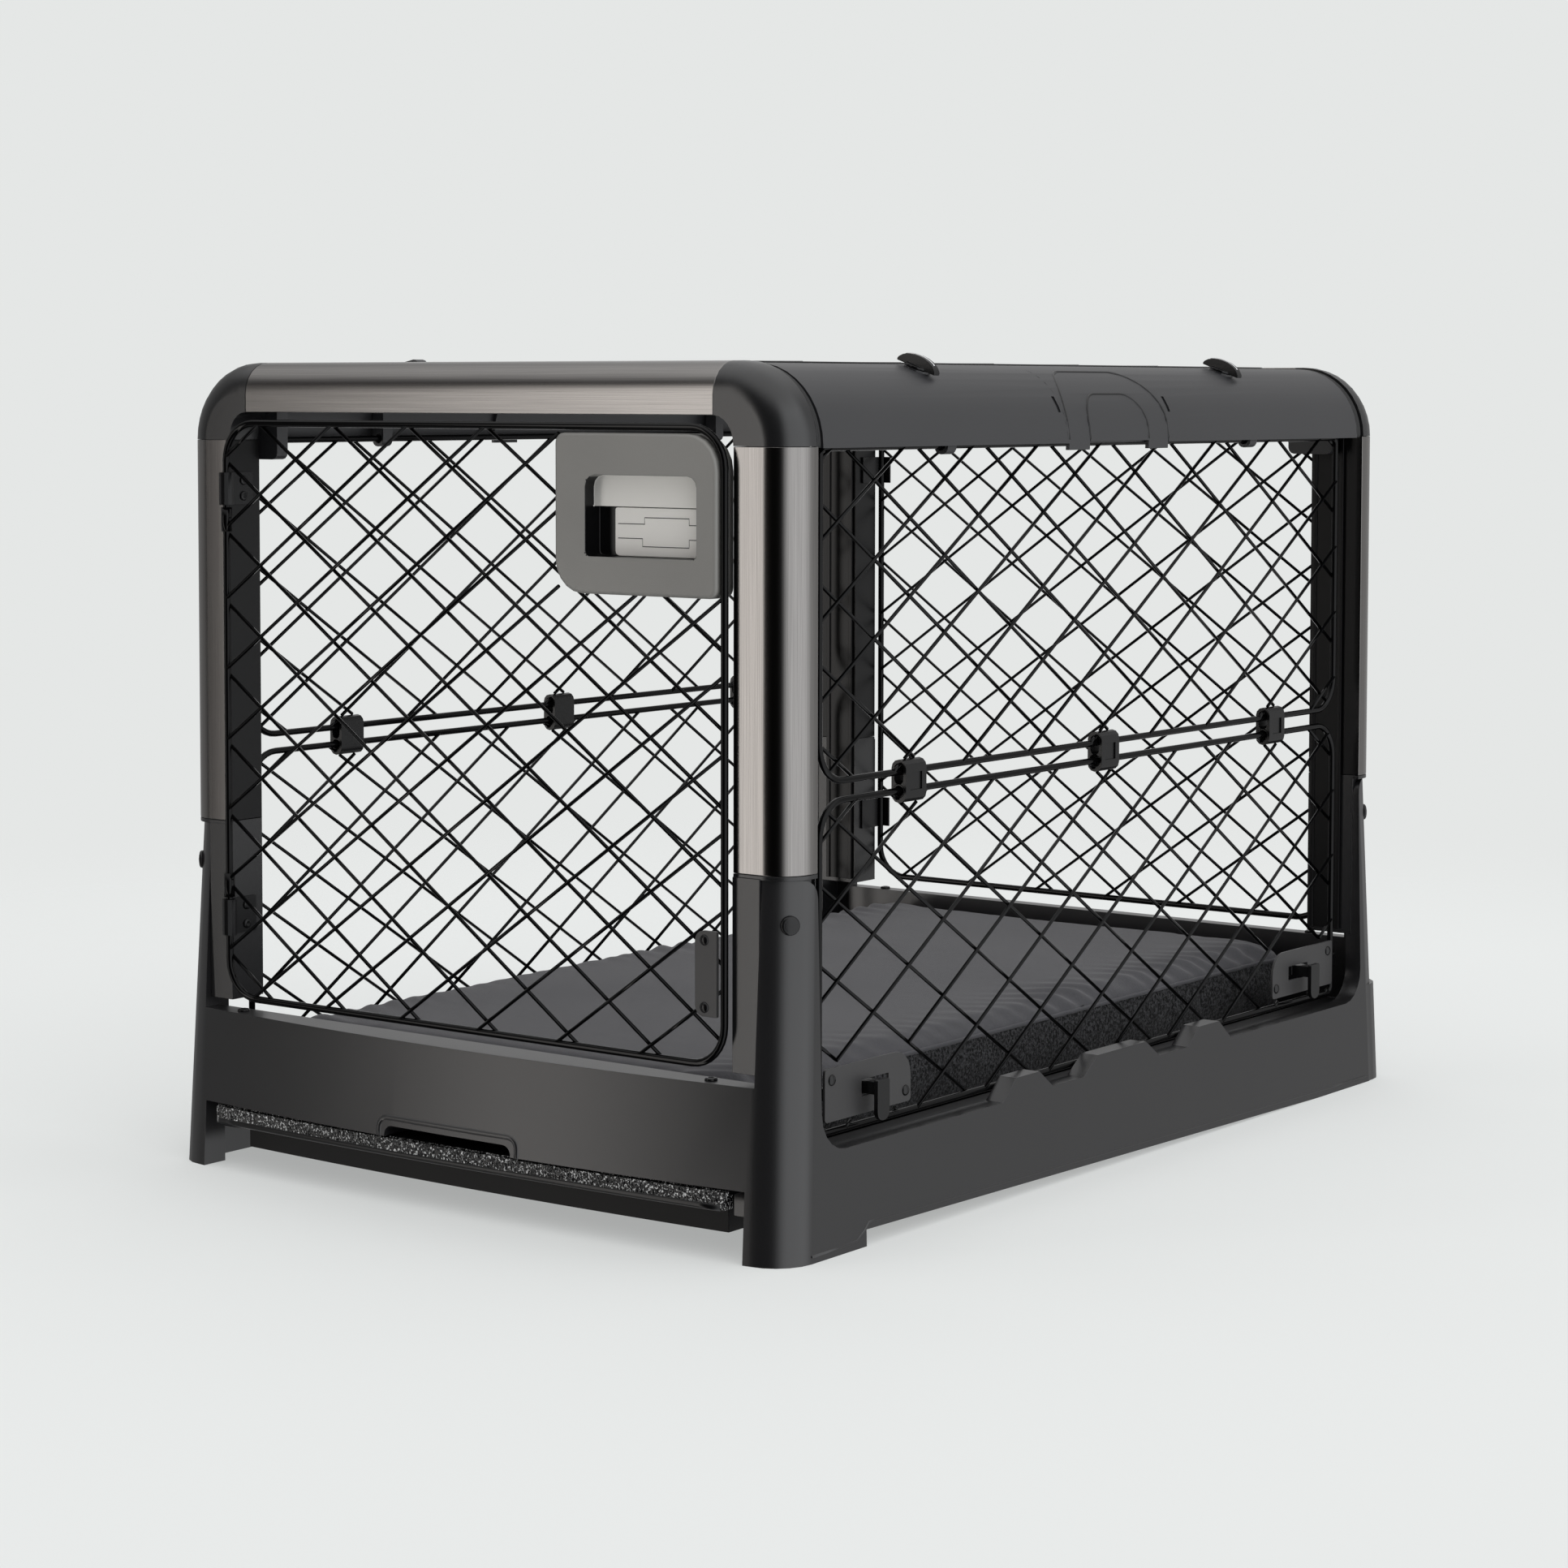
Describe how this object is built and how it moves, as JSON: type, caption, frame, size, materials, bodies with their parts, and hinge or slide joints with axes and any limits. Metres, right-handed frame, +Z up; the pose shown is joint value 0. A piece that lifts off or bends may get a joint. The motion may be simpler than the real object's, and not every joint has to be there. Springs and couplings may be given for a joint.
{
  "type": "collapsible wire dog crate",
  "caption": "Collapsible dog crate with a moulded base and roof rails, brushed end frames, folding lattice wire walls, a front door, roof hatch, side door, pull-out tray and mat.",
  "frame": {"origin": "centre of the base footprint on the floor", "axes": "+X to the right seen from the front, +Y from the front door to the rear, +Z up"},
  "size_m": [0.65, 0.987, 0.6821],
  "materials": {
    "moulded": "satin charcoal",
    "rail": "satin charcoal",
    "black_plastic": "black",
    "aluminium": "brushed",
    "wire": "gloss black",
    "plate": "satin",
    "black_steel": "satin black",
    "housing": "fine grain",
    "tray": "pebbled black",
    "fabric": "woven charcoal"
  },
  "bodies": {
    "frame": {"base_frame": "moulded", "front_left_foot": "moulded", "front_right_foot": "moulded", "rear_left_foot": "moulded", "rear_right_foot": "moulded", "front_left_post": "aluminium", "front_right_post": "aluminium", "rear_left_post": "aluminium", "rear_right_post": "aluminium", "front_left_elbow": "moulded", "front_right_elbow": "moulded", "rear_left_elbow": "moulded", "rear_right_elbow": "moulded", "front_left_track_liner": "black_plastic", "front_right_track_liner": "black_plastic", "rear_left_track_liner": "black_plastic", "rear_right_track_liner": "black_plastic", "front_left_pivot_screw": "black_steel", "front_right_pivot_screw": "black_steel", "rear_left_pivot_screw": "black_steel", "rear_right_pivot_screw": "black_steel", "front_top_bar": "aluminium", "rear_top_bar": "aluminium", "rear_wire_panel": "wire", "upper_rear_clamp": "black_steel", "lower_rear_clamp": "black_steel", "upper_door_hinge": "black_steel", "lower_door_hinge": "black_steel", "mat": "fabric"},
    "left_lower": {"left_lower_panel": "wire"},
    "left_clips": {"left_front_clip": "black_plastic", "left_middle_clip": "black_plastic", "left_rear_clip": "black_plastic"},
    "left_upper": {"left_upper_panel": "wire"},
    "roof": {"left_roof_rail": "rail", "right_roof_rail": "rail", "front_roof_beam": "rail", "rear_roof_beam": "rail"},
    "right_upper": {"right_upper_panel": "wire"},
    "right_clips": {"right_front_clip": "black_plastic", "right_middle_clip": "black_plastic", "right_rear_clip": "black_plastic"},
    "right_bushes": {"right_front_bush": "black_plastic", "right_rear_bush": "black_plastic"},
    "right_lower": {"right_lower_panel": "wire", "right_front_latch_plate": "plate", "right_rear_latch_plate": "plate"},
    "front_side_latch": {"right_front_side_latch": "black_plastic"},
    "rear_side_latch": {"right_rear_side_latch": "black_plastic"},
    "front_door": {"front_door_panel": "wire", "door_latch_housing": "housing", "door_strike_plate": "plate"},
    "latch_slider": {"door_latch_slider": "housing"},
    "hatch": {"roof_hatch_panel": "wire"},
    "front_turn_latch": {"front_turn_latch": "black_plastic"},
    "rear_turn_latch": {"rear_turn_latch": "black_plastic"},
    "left_handle": {"left_carry_handle": "rail"},
    "right_handle": {"right_carry_handle": "rail"},
    "tray": {"tray": "tray"}
  },
  "joints": [
    {"name": "collapse", "type": "hinge", "parent": "frame", "child": "left_lower", "pos_m": [-0.302, 0, 0.0885], "axis": [0, -1, 0], "range_deg": [-85, 0], "deforming": ["mat"]},
    {"name": "left_wall_fold", "type": "hinge", "parent": "left_lower", "child": "left_upper", "pos_m": [-0.306, 0, 0.349], "axis": [0, -1, 0], "range_deg": [0, 170]},
    {"name": "left_clip_eyes", "type": "hinge", "parent": "left_lower", "child": "left_clips", "pos_m": [-0.302, 0, 0.3415], "axis": [0, -1, 0], "range_deg": [0, 85]},
    {"name": "left_roof_pivot", "type": "hinge", "parent": "left_upper", "child": "roof", "pos_m": [-0.302, 0, 0.6095], "axis": [0, -1, 0], "range_deg": [-85, 0]},
    {"name": "right_roof_pivot", "type": "hinge", "parent": "roof", "child": "right_upper", "pos_m": [0.302, 0, 0.6095], "axis": [0, -1, 0], "range_deg": [-85, 0]},
    {"name": "right_wall_pivot", "type": "hinge", "parent": "frame", "child": "right_bushes", "pos_m": [0.302, 0, 0.0885], "axis": [0, -1, 0], "range_deg": [0, 85]},
    {"name": "right_clip_eyes", "type": "hinge", "parent": "right_bushes", "child": "right_clips", "pos_m": [0.302, 0, 0.3415], "axis": [0, -1, 0], "range_deg": [-85, 0]},
    {"name": "side_door", "type": "hinge", "parent": "right_bushes", "child": "right_lower", "pos_m": [0.302, 0, 0.3415], "axis": [0, 1, 0], "range_deg": [0, 100], "deforming": ["mat"]},
    {"name": "front_side_latch_slide", "type": "slide", "parent": "right_lower", "child": "front_side_latch", "axis": [0, 1, 0], "range_m": [0, 0.016]},
    {"name": "rear_side_latch_slide", "type": "slide", "parent": "right_lower", "child": "rear_side_latch", "axis": [0, -1, 0], "range_m": [0, 0.016]},
    {"name": "front_door_hinge", "type": "hinge", "parent": "frame", "child": "front_door", "pos_m": [-0.262, -0.4715, 0.385], "axis": [0, 0, -1], "range_deg": [0, 105]},
    {"name": "door_latch_slide", "type": "slide", "parent": "front_door", "child": "latch_slider", "axis": [-1, 0, 0], "range_m": [0, 0.017], "stiffness_N_per_m": 150, "springref_m": -0.01},
    {"name": "hatch_hinge", "type": "hinge", "parent": "roof", "child": "hatch", "pos_m": [-0.2335, 0, 0.6727], "axis": [0, -1, 0], "range_deg": [0, 105]},
    {"name": "front_turn_latch_pivot", "type": "hinge", "parent": "roof", "child": "front_turn_latch", "pos_m": [0.27538, -0.24, 0.66973], "axis": [0.342, 0, 0.9397], "range_deg": [0, 90]},
    {"name": "rear_turn_latch_pivot", "type": "hinge", "parent": "roof", "child": "rear_turn_latch", "pos_m": [0.27538, 0.24, 0.66973], "axis": [0.342, 0, 0.9397], "range_deg": [0, 90]},
    {"name": "left_handle_hinge", "type": "hinge", "parent": "roof", "child": "left_handle", "pos_m": [-0.316, 0, 0.6065], "axis": [0, -1, 0], "range_deg": [0, 100]},
    {"name": "right_handle_hinge", "type": "hinge", "parent": "roof", "child": "right_handle", "pos_m": [0.316, 0, 0.6065], "axis": [0, 1, 0], "range_deg": [0, 100]},
    {"name": "tray_slide", "type": "slide", "parent": "frame", "child": "tray", "axis": [0, -1, 0], "range_m": [0, 0.75]}
  ],
  "couplings": [
    {"joint": "left_wall_fold", "follows": "collapse", "ratio": -2},
    {"joint": "left_clip_eyes", "follows": "collapse", "ratio": -1},
    {"joint": "left_roof_pivot", "follows": "collapse", "ratio": 1},
    {"joint": "right_roof_pivot", "follows": "collapse", "ratio": 1},
    {"joint": "right_wall_pivot", "follows": "collapse", "ratio": -1},
    {"joint": "right_clip_eyes", "follows": "collapse", "ratio": 1}
  ]
}
